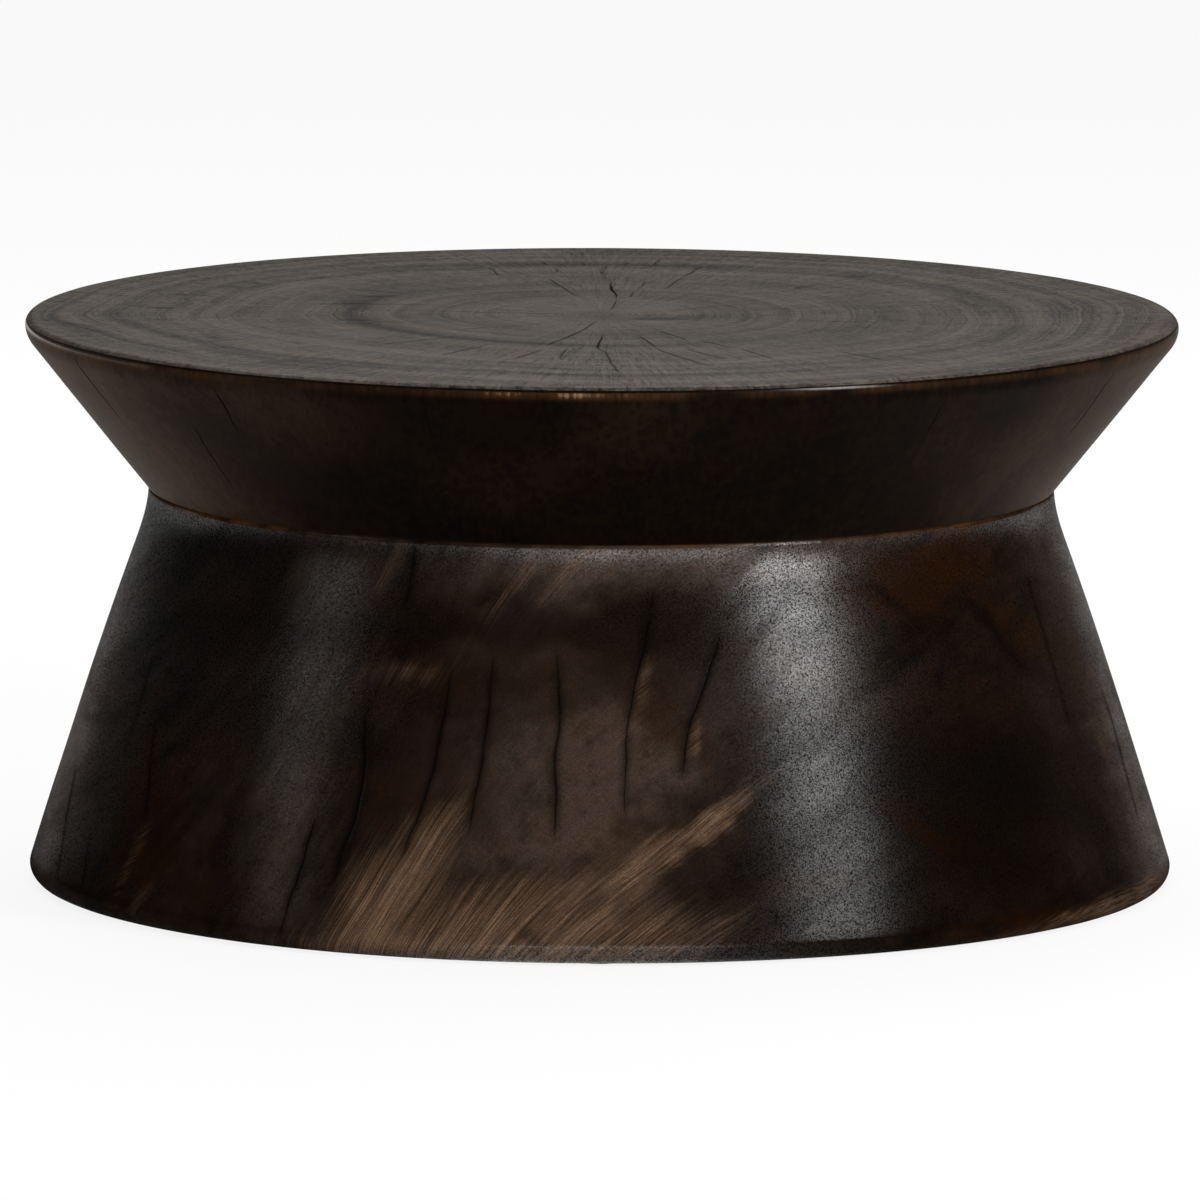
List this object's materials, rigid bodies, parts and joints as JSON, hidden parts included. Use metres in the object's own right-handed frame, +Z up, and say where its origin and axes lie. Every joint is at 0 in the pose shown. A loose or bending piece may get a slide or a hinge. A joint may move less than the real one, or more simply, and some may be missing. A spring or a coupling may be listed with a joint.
{
  "type": "drum table",
  "caption": "Low round coffee table turned from dark solid trunk wood: conical end-grain top bolted at the waist to a flared hollow base.",
  "frame": {"origin": "centre of the felt glides' floor plane, on the turning axis", "axes": "+Z up along the turning axis, floor to top; -Y is the side seen in the source picture"},
  "size_m": [0.914, 0.914, 0.4502],
  "materials": {
    "top_wood": "end grain, dark espresso stain, satin lacquer",
    "base_wood": "long grain, blotchy espresso stain, semi-gloss lacquer",
    "zinc_steel": "zinc plated",
    "insert_brass": "machined",
    "dowel_wood": "plain beech",
    "cup_plastic": "moulded, matt",
    "glide_felt": "pressed felt"
  },
  "bodies": {
    "root": {"top_drum": "top_wood", "base_drum": "base_wood", "joint_bolt_1": "zinc_steel", "joint_bolt_2": "zinc_steel", "joint_bolt_3": "zinc_steel", "joint_bolt_4": "zinc_steel", "joint_bolt_5": "zinc_steel", "joint_bolt_6": "zinc_steel", "joint_washer_1": "zinc_steel", "joint_washer_2": "zinc_steel", "joint_washer_3": "zinc_steel", "joint_washer_4": "zinc_steel", "joint_washer_5": "zinc_steel", "joint_washer_6": "zinc_steel", "threaded_insert_1": "insert_brass", "threaded_insert_2": "insert_brass", "threaded_insert_3": "insert_brass", "threaded_insert_4": "insert_brass", "threaded_insert_5": "insert_brass", "threaded_insert_6": "insert_brass", "locating_dowel_1": "dowel_wood", "locating_dowel_2": "dowel_wood", "locating_dowel_3": "dowel_wood", "locating_dowel_4": "dowel_wood", "glide_cup_1": "cup_plastic", "glide_cup_2": "cup_plastic", "glide_cup_3": "cup_plastic", "glide_cup_4": "cup_plastic", "glide_cup_5": "cup_plastic", "glide_cup_6": "cup_plastic", "glide_felt_1": "glide_felt", "glide_felt_2": "glide_felt", "glide_felt_3": "glide_felt", "glide_felt_4": "glide_felt", "glide_felt_5": "glide_felt", "glide_felt_6": "glide_felt", "glide_screw_1": "zinc_steel", "glide_screw_2": "zinc_steel", "glide_screw_3": "zinc_steel", "glide_screw_4": "zinc_steel", "glide_screw_5": "zinc_steel", "glide_screw_6": "zinc_steel"}
  },
  "joints": []
}
